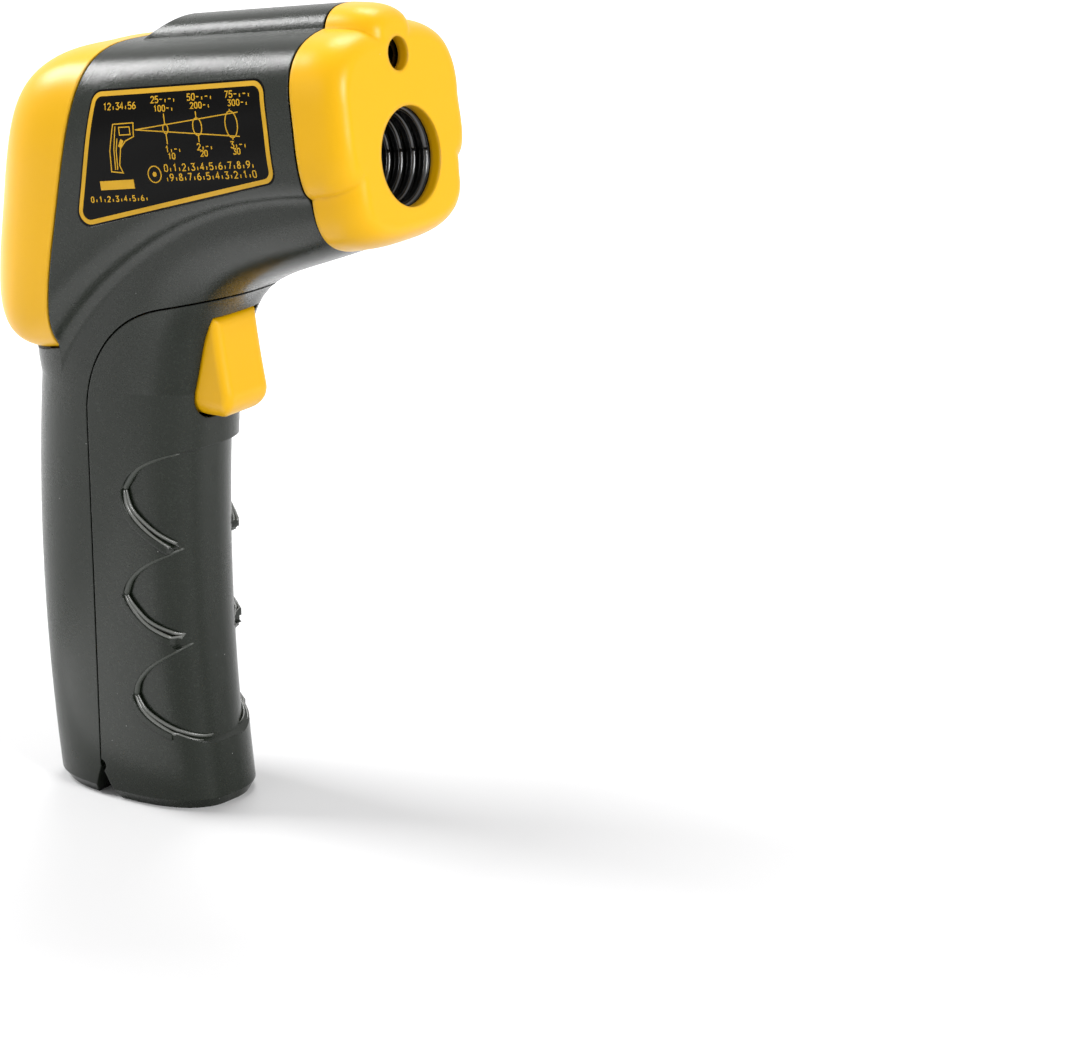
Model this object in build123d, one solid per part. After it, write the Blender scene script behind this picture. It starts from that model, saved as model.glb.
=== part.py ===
from build123d import *
from math import copysign, cos, radians, sin, tan, pi
import os

# Infrared thermometer, pistol form, standing on the foot of its grip.
# Millimetres and degrees. Origin: middle of the foot, on the floor.
# +X forward to the nose, +Y left, +Z up. The barrel points up a little.

os.makedirs("parts", exist_ok=True)

# ---- driving dimensions ----

# barrel: s runs back from the front of the nose, t runs up from the bore's axis
barrel_pitch = 8.2
bore_x = 63.7
bore_z = 133.2
barrel_half_front = 20.2
barrel_half_rear = 21.0
barrel_top = 24.6
nose_length = 9.9
trim_gap = 0.45
seam_s = 65.4
seam_tilt = 19.5
# stations of the flank: (s on the bore's axis, tilt, depth below the axis, roundness of the top)
flank_front_foot = 5.5
flank_rear_foot = 33.0
# between them: distance, tilt, foot, and how square the section is above and below
flank_middle = [(30.0, 5.0, 7.2, 3.2, 6.0), (48.0, 12.0, 14.2, 3.6, 5.0)]
crease_round = 3.0
bezel_depth = 20.5
bezel_round = 9.0
face_tilt = 16.0

# hump over the laser
hump_half = 7.6
hump_top = 28.0
hump_rise = 6.0
hump_end = 52.0
hump_slope = 6.5

# neck: rounded lobe under the flanks that turns down into the grip
lobe_half = 17.6
lobe_low = 16.0
# neck sections behind the lobe: front point (x, z), turn of the section, length, half-width
neck_front_length = 28.0
neck_stations = [((42.0, 110.4), 20.0, 36.0, 17.4), ((30.5, 105.3), 33.0, 41.0, 16.7),
                 ((22.4, 97.0), 61.0, 41.0, 15.6)]
neck_low = 84.0
neck_half_least = 13.0

# grip: rear, front and half-width at foot, waist and top
waist_z = 45.0
grip_top_z = 100.0
foot_rear, waist_rear, top_rear = -20.0, -22.5, -18.0
foot_front, waist_front, top_front = 20.9, 17.8, 20.8
foot_half, waist_half, top_half = 13.4, 14.0, 15.0
foot_chamfer = 1.3
foot_chamfer_height = 2.0
grip_power = 2.6

wall = 2.2
base_wall = 2.6
seam_gap = 0.35
fit_gap = 0.3
run_gap = 0.05
seat_gap = 0.02

# battery door: the front of the grip, hinged at the foot
hinge_x = -3.3
hinge_z = 6.5
seam_corner_x = -1.9
seam_corner_z = 97.2
seam_rise = 13.2
seam_radius = 24.0
notch_front = 3.8
notch_rear = 2.1

# finger grooves: rim of each from its top end round to its lower end, (x, z)
groove_depth = 1.3
ridge_height = 0.5
groove_rims = [
    [(17.7, 72.8), (12.9, 71.7), (8.3, 69.2), (5.3, 64.9), (6.2, 60.8), (9.7, 56.8), (14.1, 53.2)],
    [(13.5, 52.2), (9.3, 50.1), (5.9, 46.9), (4.4, 43.4), (5.6, 41.2), (8.8, 37.8), (15.0, 34.5)],
    [(14.5, 33.0), (9.6, 29.7), (6.5, 26.0), (5.7, 23.0), (7.6, 19.6), (12.2, 16.4), (19.3, 13.0)]]
cusp_x = 13.4
ridge_shift = (-0.5, -1.1)

# lens bore and laser
bore_radius = 9.05
laser_radius = 3.05
laser_rise = 18.4

points_round = 20
grip_steps = 4
grip_loft_top = 86.0


# ---- frames and outlines ----

def along(s, t=0.0, y=0.0):
    c, k = cos(radians(barrel_pitch)), sin(radians(barrel_pitch))
    return Vector(bore_x - s * c - t * k, y, bore_z - s * k + t * c)


def across(s, tilt=0.0):
    # plane across the barrel: local x is +Y, local y is up, a positive tilt leans the top forward
    angle = radians(barrel_pitch - tilt)
    return Plane(origin=along(s), x_dir=(0, 1, 0), z_dir=(cos(angle), 0, sin(angle)))


barrel_side = Plane(origin=along(0), x_dir=along(-1) - along(0), z_dir=(0, -1, 0))


def oval(half_x, half_y, power_up, power_down):
    points = []
    for k in range(points_round):
        angle = 2 * pi * k / points_round
        c, d = cos(angle), sin(angle)
        power = power_up if d >= 0 else power_down
        points.append((copysign(half_x * abs(c) ** (2 / power), c),
                       copysign(half_y * abs(d) ** (2 / power), d)))
    return make_face(Spline(*points, periodic=True))


def through(z, foot, waist, top):
    # parabola through the three stations of the grip
    a = (z - waist_z) * (z - grip_top_z) / (waist_z * grip_top_z)
    b = z * (z - grip_top_z) / (waist_z * (waist_z - grip_top_z))
    c = z * (z - waist_z) / (grip_top_z * (grip_top_z - waist_z))
    return foot * a + waist * b + top * c


def grip_section(z, inset):
    rear = through(z, foot_rear, waist_rear, top_rear) + inset
    front = through(z, foot_front, waist_front, top_front) - inset
    half = through(z, foot_half, waist_half, top_half) - inset
    return Pos((rear + front) / 2, 0, z) * oval((front - rear) / 2, half, grip_power, grip_power)


def grip(inset, low):
    rise = (grip_loft_top - low) / grip_steps
    return loft([grip_section(low + rise * k, inset) for k in range(grip_steps + 1)])


def neck(inset, front_s):
    start = along(front_s, -lobe_low)
    faces = []
    first = ((start.X, start.Z), barrel_pitch, neck_front_length, lobe_half)
    for (x, z), turn, length, half in [first, *neck_stations]:
        up = Vector(-sin(radians(turn)), 0, cos(radians(turn)))
        plane = Plane(origin=Vector(x, 0, z) + up * (length / 2), x_dir=(0, 1, 0),
                      z_dir=(cos(radians(turn)), 0, sin(radians(turn))))
        faces.append(plane * oval(half - inset, length / 2 - inset, 3.0, 3.0))
    faces.append(grip_section(neck_low, inset))
    return loft(faces)


def barrel_section(s, tilt, foot, power_up, power_down, inset):
    part = (s - nose_length) / (seam_s - nose_length)
    half = barrel_half_front + (barrel_half_rear - barrel_half_front) * part - inset
    top = barrel_top / cos(radians(tilt)) - inset
    low = -foot / cos(radians(tilt)) + inset
    plane = across(s, tilt)
    return plane * Pos(0, (top + low) / 2) * oval(half, (top - low) / 2, power_up, power_down)


def barrel(inset, front_s):
    first = (front_s, 0, flank_front_foot, 3.0, 7.0)
    last = (seam_s, seam_tilt, flank_rear_foot, 4.0, 4.0)
    return loft([barrel_section(*station, inset) for station in (first, *flank_middle, last)])


def hump(inset, front_s):
    centre = hump_top - hump_rise
    bar = across(hump_end) * Pos(0, centre) * oval(hump_half - inset, hump_rise - inset, 2.5, 2.5)
    bar = extrude(bar, hump_end - front_s)
    keep = Polygon((-front_s + 1, centre - 9), (-hump_end - 1, centre - 9),
                   (-hump_end, barrel_top - inset), (-hump_end + hump_slope, hump_top + 0.2 - inset),
                   (-hump_end + hump_slope, hump_top + 5), (-front_s + 1, hump_top + 5), align=None)
    return bar & extrude(barrel_side * keep, 20, both=True)


def slab(x, y, z):
    # block from three (low, high) ranges
    return Pos((x[0] + x[1]) / 2, (y[0] + y[1]) / 2, (z[0] + z[1]) / 2) * Box(
        x[1] - x[0], y[1] - y[0], z[1] - z[0])


def rod_y(x, z, radius, low, high):
    # round bar along Y
    return Pos(x, (low + high) / 2, z) * Rot(90, 0, 0) * Cylinder(radius, high - low)


def rod_s(radius, near, far, t=0.0):
    # round bar along the barrel between two distances from the nose
    return extrude(across(far) * Pos(0, t) * Circle(radius), far - near)


def side_prism(outline, half):
    # solid of an (x, z) outline, centred on the middle plane
    return extrude(Plane.XZ * outline, half, both=True)


left_side = slab((-200, 200), (0, 100), (-50, 250))
right_side = slab((-200, 200), (-100, 0), (-50, 250))


def write(node, shape):
    shape.label = node
    export_step(shape, f"parts/{node}.step")


# ---- outer form and cavity ----

front_s = nose_length + trim_gap
foot_edge = loft([grip_section(0, foot_chamfer), grip_section(foot_chamfer_height, 0)])
handle = foot_edge + grip(0, foot_chamfer_height) + neck(0, front_s)
handle_inside = grip(wall, base_wall) + neck(wall, front_s + wall)
barrel_body = barrel(0, front_s)


def door_region(grow):
    rise = tan(radians(seam_rise))
    far, below = 60.0, -5.0
    seam = FilletPolyline((hinge_x, hinge_z), (seam_corner_x, seam_corner_z),
                          (far, seam_corner_z + (far - seam_corner_x) * rise), radius=seam_radius)
    foot_x = hinge_x + notch_front * (hinge_z - below) / hinge_z
    edge = Polyline(seam @ 1, (far, below), (foot_x, below), seam @ 0)
    return offset(make_face([seam, edge]), grow)


door_cut = side_prism(door_region(seam_gap / 2), 40)
door_space = side_prism(door_region(-seam_gap / 2), 40)
notch = side_prism(Polygon((hinge_x, hinge_z), (hinge_x + notch_front, 0), (hinge_x + notch_front, -1),
                           (hinge_x - notch_rear, -1), (hinge_x - notch_rear, 0), align=None), 40)

# ---- form of the rear bezel ----

rear_wall = 4.4
bezel_stations = [(trim_gap, 0.0), (8.0, 0.3), (13.5, 1.7), (17.5, 4.4), (bezel_depth, bezel_round)]
bezel_inside = [(trim_gap - 1, 0.0), (8.0, 0.3), (13.0, 1.7), (bezel_depth - rear_wall, 3.6)]


def bezel_form(inset, stations):
    faces = []
    for depth, round_off in stations:
        tilt = seam_tilt + (face_tilt - seam_tilt) * depth / bezel_depth
        half = barrel_half_rear - inset - round_off
        top = barrel_top / cos(radians(tilt)) - inset - round_off
        low = -flank_rear_foot / cos(radians(tilt)) + inset + round_off
        faces.append(across(seam_s + depth, tilt) * Pos(0, (top + low) / 2)
                     * oval(half, (top - low) / 2, 4.0, 4.0))
    return loft(faces)


# ---- side labels: bare plates let into both flanks ----

label_s = (15.3, 54.9, 62.9, 15.3)
label_t = (17.6, 17.2, -8.1, -0.9)
label_depth = 0.45
label_round = 2.5

label_outline = Polygon(*[(-s, t) for s, t in zip(label_s, label_t)], align=None)
label_outline = fillet(label_outline.vertices(), label_round)


def label_prism(side, gap):
    return extrude(barrel_side * offset(label_outline, gap), side * 30)


def label(side):
    prism = label_prism(side, 0)
    return (prism & barrel_body) - barrel(label_depth, front_s)


def label_recess(side):
    return label_prism(side, run_gap) - barrel(label_depth + run_gap, front_s)


# ---- housing halves ----

boss_radius = 3.2
screw_radius = 1.2
screw_head_radius = 2.3
screw_head_length = 1.8
screw_seat = 7.0
screw_tip = -8.5
screw_places = [along(36, -14.5), along(38, 17.0), Vector(-16.4, 0, 74.0), Vector(-16.0, 0, 8.0)]

tube_radius = 10.6
bulkhead = 2.2

hinge_pin_radius = 1.25
hinge_boss_radius = 2.6
ear_inner, ear_outer = 5.6, 8.8
foot_inner_half = through(hinge_z, foot_half, waist_half, top_half) - wall
pin_half = foot_inner_half - 0.6

tray_back = -12.6
ledge_half = 1.5
ledge_places = (20.0, 48.0)
ledge_height = 6.0


def hinge_boss(side):
    inner = side * (ear_outer + fit_gap)
    free = sorted((inner, side * (foot_inner_half - fit_gap)))
    rooted = sorted((inner, side * (foot_inner_half + 0.6)))
    block = slab((hinge_x - 5, hinge_x - seam_gap), rooted, (base_wall - 0.5, hinge_z + hinge_boss_radius))
    return rod_y(hinge_x, hinge_z, hinge_boss_radius, *free) + block


hinge_bosses = hinge_boss(1) + hinge_boss(-1)
solid_inside = [rod_y(p.X, p.Z, boss_radius, -60, 60) for p in screw_places]
solid_inside += [slab((-40, tray_back - seat_gap), (-ledge_half, ledge_half), (z, z + ledge_height))
                 for z in ledge_places]
cavity = (barrel(wall, front_s + bulkhead) + handle_inside + hump(wall, front_s + bulkhead)
          - solid_inside - hinge_bosses)

bezel_space = bezel_form(-trim_gap, [(0.0, 0.0)] + bezel_stations[1:])
cuts = [cavity, bezel_space, door_cut - hinge_bosses, notch, label_recess(1), label_recess(-1),
        rod_s(tube_radius + fit_gap, front_s - 1, front_s + bulkhead + 1),
        rod_s(laser_radius + fit_gap, front_s - 1, front_s + bulkhead + 1, laser_rise),
        rod_y(hinge_x, hinge_z, hinge_pin_radius + seat_gap, -pin_half - 0.1, pin_half + 0.1)]
cuts += [rod_y(p.X, p.Z, screw_radius + seat_gap, screw_tip - 0.5, 60) for p in screw_places]
cuts += [rod_y(p.X, p.Z, screw_head_radius + fit_gap, screw_seat, 60) for p in screw_places]
outer = barrel_body + handle
crease = [edge for edge in outer.edges()
          if abs((edge @ 0.5).Y) > neck_half_least and min((edge @ 0).Z, (edge @ 1).Z) > neck_low + 4]
housing = outer.fillet(crease_round, crease) + hump(0, front_s) - cuts

write("housing_right", housing & right_side)
write("housing_left", housing & left_side)
write("label_right", label(1))
write("label_left", label(-1))

screws = [rod_y(p.X, p.Z, screw_radius, screw_tip, screw_seat)
          + rod_y(p.X, p.Z, screw_head_radius, screw_seat, screw_seat + screw_head_length)
          for p in screw_places]
write("housing_screws", Compound(children=screws))
write("door_hinge_pin", rod_y(hinge_x, hinge_z, hinge_pin_radius, -pin_half, pin_half))

# ---- nose bezel ----

nose_wall = 2.3
nose_stations = [(nose_length, 0.0), (5.0, 0.5), (2.0, 1.5), (0.6, 2.6), (0.0, 4.2)]


def lobe_section(s, inset):
    return across(s) * Pos(0, 12.0 - lobe_low) * oval(lobe_half - inset, 12.0 - inset, 3.0, 3.0)


def hump_section(s, inset):
    return across(s) * Pos(0, hump_top - hump_rise) * oval(hump_half - inset, hump_rise - inset, 2.5, 2.5)


def nose_form(inset, stations):
    flanks = [barrel_section(s, 0, flank_front_foot, 3.0, 7.0, inset + d) for s, d in stations]
    lobes = [lobe_section(s, inset + d) for s, d in stations]
    humps = [hump_section(s, inset + d) for s, d in stations]
    return loft(flanks) + loft(lobes) + loft(humps)


nose_inside = [(nose_length, 0.0), (nose_wall, 0.8)]
tube_start = nose_wall + 0.3
laser_start = nose_wall + 0.3
collar_wall = 1.2
collar_length = 3.0
nose = nose_form(0, nose_stations) - nose_form(wall, nose_inside)
collar = rod_s(tube_radius + fit_gap + collar_wall, nose_wall - 0.5, nose_wall + collar_length)
collar -= rod_s(tube_radius + fit_gap, nose_wall - 1, nose_wall + collar_length + 1)
nose += collar
nose -= rod_s(bore_radius, -1, nose_wall + 1)
nose -= rod_s(laser_radius, -1, nose_wall + 1, laser_rise)
write("nose_bezel", nose)

# ---- rear bezel and the display face ----

face = across(seam_s + bezel_depth, face_tilt)
face_mid = (barrel_top - flank_rear_foot) / cos(radians(face_tilt)) / 2
panel_width, panel_height, panel_thick = 27.0, 43.6, 1.4
panel_round = 4.0
panel_ledge = 1.4
panel_sink = 1.5
panel_far = panel_sink + panel_thick


def on_face(x, y, depth):
    # place on the display face: x across, y up from its middle, depth inward
    return face * Pos(x, face_mid + y, depth)


def face_block(x, y, near, far, width, height, round_off=0.0):
    outline = RectangleRounded(width, height, round_off) if round_off else Rectangle(width, height)
    return extrude(on_face(x, y, near) * outline, far - near)


post_places = [(x, y) for x in (-14.0, 14.0) for y in (-15.6, 15.6)]
post_radius = 1.9
board_near = 8.0
board_thick = 1.6
board_width, board_height = 31.6, 38.0
bezel = bezel_form(0, bezel_stations)
inside = bezel_form(wall, bezel_inside)
inside -= [extrude(on_face(x, y, rear_wall - 1) * Circle(post_radius), board_near - rear_wall + 1)
           for x, y in post_places]
bezel -= [inside, face_block(0, 0, -5, panel_far + 0.1, panel_width + 2 * run_gap,
                             panel_height + 2 * run_gap, panel_round + run_gap),
          face_block(0, 0, 0, rear_wall + 1, panel_width - 2 * panel_ledge,
                     panel_height - 2 * panel_ledge, panel_round - panel_ledge)]
bezel -= [extrude(on_face(x, y, rear_wall + 0.4) * Circle(0.9), board_near) for x, y in post_places]
write("rear_bezel", bezel)

window_y, window_width, window_height, window_round = 8.2, 21.0, 18.4, 1.5
key_y, key_pitch, key_width, key_height, key_round = -11.5, 7.8, 6.0, 8.0, 2.0
key_travel = 0.3
key_names = ("left_key", "middle_key", "right_key")
panel = face_block(0, 0, panel_sink, panel_far, panel_width, panel_height, panel_round)
panel -= face_block(0, window_y, 0, panel_far + 1, window_width, window_height, window_round)
for k in (-1, 0, 1):
    panel -= face_block(k * key_pitch, key_y, 0, panel_far + 1, key_width, key_height, key_round)
write("face_panel", panel)
window_gap = 0.05
write("display_window", face_block(0, window_y, panel_sink + 0.1, panel_far, window_width - 2 * window_gap,
                                   window_height - 2 * window_gap, window_round - window_gap))
lcd_near, lcd_thick = panel_far + 0.3, 1.8
lcd_width, lcd_height = 23.0, 20.4
write("lcd_panel", face_block(0, window_y, lcd_near, lcd_near + lcd_thick, lcd_width, lcd_height))
diffuser_thick = 2.6
strip_height = 1.6
diffuser_near = lcd_near + lcd_thick
write("backlight_diffuser", face_block(0, window_y, diffuser_near, diffuser_near + diffuser_thick,
                                       lcd_width, lcd_height - 2 * strip_height - 0.8))
strips = [face_block(0, window_y + side * (lcd_height - strip_height) / 2, diffuser_near, board_near,
                     lcd_width - 2, strip_height) for side in (-1, 1)]
write("contact_strips", Compound(children=strips))

board = face_block(0, 0, board_near, board_near + board_thick, board_width, board_height, 3.0)
board -= [extrude(on_face(x, y, board_near - 1) * Circle(1.1), board_thick + 2) for x, y in post_places]
write("main_board", board)
board_far = board_near + board_thick
board_screws = [extrude(on_face(x, y, board_far) * Circle(1.7), 1.3)
                + extrude(on_face(x, y, board_far) * Circle(0.85), -4.5) for x, y in post_places]
write("board_screws", Compound(children=board_screws))
# middle (x, y), height, width and length of each chip
chips = [face_block(x, y, board_far, board_far + rise, width, length) for x, y, rise, width, length in (
    (-6, 10, 1.4, 10, 10), (8, 12, 1.2, 5, 4), (8, 4, 1.2, 5, 4), (-9, -2, 2.4, 3, 8), (3, -14, 1.8, 7, 4))]
write("board_chips", Compound(children=chips))
buzzer = extrude(on_face(8, -6, board_far) * Circle(4.5), 3.6)
write("buzzer", buzzer - extrude(on_face(8, -6, board_far + 2.8) * Circle(1), 2))

switch_height = 2.2
switch_side = 5.8
plunger_radius = 1.5
plunger_rise = 0.7
switches = []
for k, name in zip((1, 0, -1), key_names):
    x = k * key_pitch
    switch_near = board_near - switch_height
    switch = face_block(x, key_y, switch_near, board_near, switch_side, switch_side, 0.5)
    switch -= extrude(on_face(x, key_y, switch_near - 1) * Circle(plunger_radius + run_gap), 3.0)
    switches.append(switch)
    plunger_top = switch_near - plunger_rise
    write(f"{name}_plunger", extrude(on_face(x, key_y, plunger_top) * Circle(plunger_radius), 2.0))
    cap = face_block(x, key_y, panel_sink - 1.0, panel_far + 0.4,
                     key_width - 2 * fit_gap, key_height - 2 * fit_gap, key_round - fit_gap)
    cap = fillet(cap.faces().sort_by(Axis((0, 0, 0), face.z_dir))[0].edges(), 0.6)
    flange = face_block(x, key_y, panel_far + 0.4, panel_far + 1.2,
                        key_width + 0.8, key_height + 1.6, key_round)
    stem = extrude(on_face(x, key_y, panel_far + 1.0) * Circle(1.3), plunger_top - panel_far - 1.0)
    write(name, cap + flange + stem)
write("key_switches", Compound(children=switches))

# ---- lens tube, lens and sensor ----

ring_count = 6
ring_pitch = 2.5
ring_width = 0.9
ring_first = tube_start + 0.7
tube_mouth = 8.9
ring_shrink = 0.42
groove_drop = 1.0
lens_s, lens_radius, lens_thick = 21.0, 6.4, 2.2
sensor_s, sensor_radius, sensor_length = 32.0, 4.5, 4.2
tube_end = sensor_s + sensor_length + 1.0
tube_waist_s = 28.0
tube_waist_radius = 7.6
barrel_axis = Axis(along(0), along(-1) - along(0))


def turned(outline):
    return revolve(barrel_side * outline, barrel_axis)


def bar(near, far, inner, outer):
    return Polygon((-near, inner), (-far, inner), (-far, outer), (-near, outer), align=None)


tube = turned(bar(tube_start, tube_waist_s, 0, tube_radius)
              + bar(tube_waist_s - 1, tube_end, 0, tube_waist_radius))
bore = bar(tube_start - 1, ring_first, 0, tube_mouth)
for k in range(ring_count):
    near = ring_first + k * ring_pitch
    bore += bar(near - 0.1, near + ring_width, 0, tube_mouth - 0.5 - k * ring_shrink)
    bore += bar(near + ring_width, near + ring_pitch, 0, tube_mouth + groove_drop - 0.5 - k * ring_shrink)
bore += bar(lens_s - 2.2, lens_s + lens_thick + 1, 0, lens_radius - 0.8)
bore += bar(lens_s, lens_s + lens_thick, 0, lens_radius + seat_gap)
bore += bar(lens_s, sensor_s, 0, sensor_radius - 0.4)
bore += bar(sensor_s, tube_end + 1, 0, sensor_radius + seat_gap)
tube -= turned(bore)
tube_top = extrude(across(tube_end + 5) * Pos(0, 20) * Rectangle(60, 40), tube_end + 10)
write("lens_tube_upper", tube & tube_top)
write("lens_tube_lower", tube - tube_top)
lens = turned(bar(lens_s, lens_s + lens_thick, 0, lens_radius))
write("infrared_lens", lens)
can = turned(bar(sensor_s, sensor_s + sensor_length, 0, sensor_radius))
can -= turned(bar(sensor_s - 1, sensor_s + 0.4, 0, 2.4))
pin_places = [Pos(1.8 * cos(radians(a)), 1.8 * sin(radians(a))) for a in (45, 135, 225, 315)]
pins = [extrude(across(sensor_s + sensor_length + 3.2) * place * Circle(0.25), 3.4) for place in pin_places]
write("thermopile_sensor", can + pins)
sensor_board_s = tube_end + 0.02
sensor_board = extrude(across(sensor_board_s + 1.2) * Rectangle(17, 17), 1.2)
sensor_board -= [extrude(across(sensor_board_s + 2) * place * Circle(0.3), 3) for place in pin_places]
write("sensor_board", sensor_board)

# ---- laser ----

laser_length = 16.0
laser_body_radius = 3.0
laser = rod_s(laser_body_radius, laser_start, laser_start + laser_length, laser_rise)
laser -= rod_s(2.0, laser_start - 1, laser_start + 3.5, laser_rise)
write("laser_module", laser)
write("laser_lens", rod_s(2.0 - seat_gap, laser_start + 2.0, laser_start + 3.4, laser_rise))
holder_near, holder_far = front_s + bulkhead + 0.3, laser_start + laser_length - 0.5
holder = extrude(across(holder_far) * Pos(0, (tube_radius + laser_rise) / 2 + 1.0)
                 * Rectangle(9.0, laser_rise - tube_radius + 4.0), holder_far - holder_near)
holder -= rod_s(laser_body_radius + seat_gap, 0, 40, laser_rise)
holder -= rod_s(tube_radius + seat_gap, 0, 40)
write("laser_holder", holder)
laser_board = across(laser_start + laser_length + 1.1) * Pos(0, laser_rise) * Circle(2.9)
write("laser_board", extrude(laser_board, 1.0))

# ---- battery door ----

window_half = 6.9
window_low, window_high = 78.5, 99.3
window_round_low = 4.2
web_x, web_thick = 11.0, 1.4
web_low = 76.0
trigger_x, trigger_z = 17.6, 96.2
trigger_half = 6.5
trigger_pin_radius = 1.2
rib_inner, rib_outer = window_half + 0.35, 8.8
lug_low, lug_high, lug_half, lug_tip = 82.2, 85.2, 2.0, 5.2
spring_z, spring_radius, spring_wire = 89.5, 2.2, 0.28


def groove_face(rim):
    (top_x, top_z), (low_x, low_z) = rim[0], rim[-1]
    far = 40.0
    return make_face([Spline(*rim), Polyline((low_x, low_z), (far, low_z), (far, top_z), (top_x, top_z))])


def ridge_face(rim):
    # crescent under the lower half of a rim
    high, low = rim[3][1], rim[-1][1] - 3
    zone = Polygon((-5, high), (-5, low), (cusp_x, low), (cusp_x, high), align=None)
    face = groove_face(rim)
    return (Pos(*ridge_shift) * face - face) & zone


strip_low, strip_high = groove_rims[2][0][1], groove_rims[0][-1][1]
groove_outline = Polygon((cusp_x, strip_low), (40, strip_low), (40, strip_high), (cusp_x, strip_high),
                         align=None)
for rim in groove_rims:
    groove_outline += groove_face(rim)

ear_outline = Pos(hinge_x, hinge_z) * Circle(hinge_boss_radius) + Polygon(
    (hinge_x + 1.0, hinge_z + 2.35), (hinge_x + 14, base_wall - 0.5), (hinge_x + 5.2, base_wall - 1.5),
    (hinge_x - 1.2, hinge_z - 2.3), align=None)
ears = [side_prism(ear_outline, 30) & slab((-50, 50), y, (-50, 50))
        for y in ((ear_inner, ear_outer), (-ear_outer, -ear_inner))]
web = slab((web_x, web_x + web_thick), (-30, 30), (web_low, seam_corner_z + 1))
ribs = [slab((web_x, 21.0), y, (92.8, 98.8)) for y in ((rib_inner, rib_outer), (-rib_outer, -rib_inner))]
root = 0.5


def front_outline(half, low, corner):
    # outline seen from the front: square top, rounded foot
    block = Plane.YZ.offset(web_x + web_thick) * Pos(0, (low + window_high) / 2) * Rectangle(
        2 * half, window_high - low)
    return fillet(block.vertices().group_by(Axis.Z)[0], corner)


rooted = (grip(wall - root, base_wall - root) + neck(wall - root, front_s + wall)) & (door_space + ears)
features = (Part() + [web] + ribs + ears) & rooted
groove_cut = side_prism(groove_outline, 30) - grip(groove_depth, -1)
raised = grip(-ridge_height, 1.0) & (Part() + [side_prism(ridge_face(rim), 30) for rim in groove_rims])
door = (handle & door_space) + raised - handle_inside - groove_cut + features
door -= [
    extrude(front_outline(window_half, window_low, window_round_low), 60),
    slab((web_x - 1, web_x + web_thick + 1), (-lug_half - 0.6, lug_half + 0.6),
         (lug_low - 1.6, lug_high + 1.8)),
    rod_y(hinge_x, hinge_z, hinge_pin_radius + run_gap, -20, 20),
    rod_y(trigger_x, trigger_z, trigger_pin_radius + seat_gap, -rib_outer - 0.1, rib_outer + 0.1)]
write("battery_door", door)

# ---- trigger ----

trigger_low = 79.2
trigger_round_low = 3.8
trigger_front = Spline((23.2, 98.9), (24.1, 92.6), (25.6, 84.6))
trigger_outline = make_face([
    trigger_front,
    TangentArc(trigger_front @ 1, (21.8, trigger_low), tangent=trigger_front % 1),
    Polyline((21.8, trigger_low), (14.8, trigger_low), (15.0, trigger_z)),
    ThreePointArc((15.0, trigger_z), (15.8, trigger_z + 1.9), (17.7, trigger_z + 2.6)),
    Line((17.7, trigger_z + 2.6), (23.2, 98.9))])
trigger = side_prism(trigger_outline, trigger_half) & extrude(
    front_outline(trigger_half, trigger_low, trigger_round_low), 60)
front_edges = [e for e in trigger.edges() if e.center().X > 21 and abs(e.center().Y) > 2 and e.length > 2]
trigger = fillet(front_edges, 1.8)
pocket_low, pocket_high = trigger_low + 4.0, 92.4
pocket = Polygon((10, pocket_low), (22.4, pocket_low), (22.6, 86), (21.9, pocket_high), (10, pocket_high),
                 align=None)
trigger -= side_prism(pocket, trigger_half - 1.5)
trigger += slab((lug_tip, 23.4), (-lug_half, lug_half), (lug_low, lug_high))
trigger -= rod_y(trigger_x, trigger_z, trigger_pin_radius + run_gap, -20, 20)
write("trigger", trigger)
write("trigger_pin", rod_y(trigger_x, trigger_z, trigger_pin_radius, -rib_outer, rib_outer))


def coil(pitch, height, radius, wire, place, cone=0):
    path = Helix(pitch, height, radius, cone_angle=cone)
    return place * sweep(Plane(origin=path @ 0, z_dir=path % 0) * RegularPolygon(wire, 6), path)


spring_seat = web_x + web_thick + 0.3
spring_length = 8.7
write("trigger_spring", coil(1.9, spring_length, spring_radius, spring_wire,
                             Plane(origin=(spring_seat + 0.1, 0, spring_z), z_dir=(1, 0, 0))))

# ---- trigger switch ----

switch_z = (lug_low + lug_high) / 2
switch_back, switch_front = -3.6, 2.4
switch_half = 3.2
plunger_tip = lug_tip - 0.35
pin_radius, pin_depth = 1.2, 2.0


def rod_x(radius, near, far):
    # round bar along X at the switch's height
    return extrude(Plane(origin=(near, 0, switch_z), z_dir=(1, 0, 0)) * Circle(radius), far - near)


switch_body = slab((switch_back, switch_front), (-switch_half, switch_half),
                   (switch_z - 3.4, switch_z + 3.4))
write("trigger_switch", switch_body - rod_x(pin_radius + run_gap, switch_front - 3.4, switch_front + 0.2))
write("switch_plunger", rod_x(pin_radius, switch_front - pin_depth, plunger_tip))
trigger_board_thick = 1.6
trigger_board_low, trigger_board_high = 70.0, 92.0
write("trigger_board", slab((switch_back - trigger_board_thick, switch_back), (-8.5, 8.5),
                            (trigger_board_low, trigger_board_high)))

# ---- battery tray, cells and contacts ----

cell_radius, cell_length, nub_length, nub_radius = 5.25, 44.5, 1.2, 1.9
cell_x, cell_y = -6.4, 5.4
tray_low, tray_wall, tray_room = 10.6, 1.4, 50.0
tray_floor = tray_low + tray_wall
tray_ceiling = tray_floor + tray_room
contact_thick = 0.4
spine_thick = 2.0
spine_half = 4.0


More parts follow.
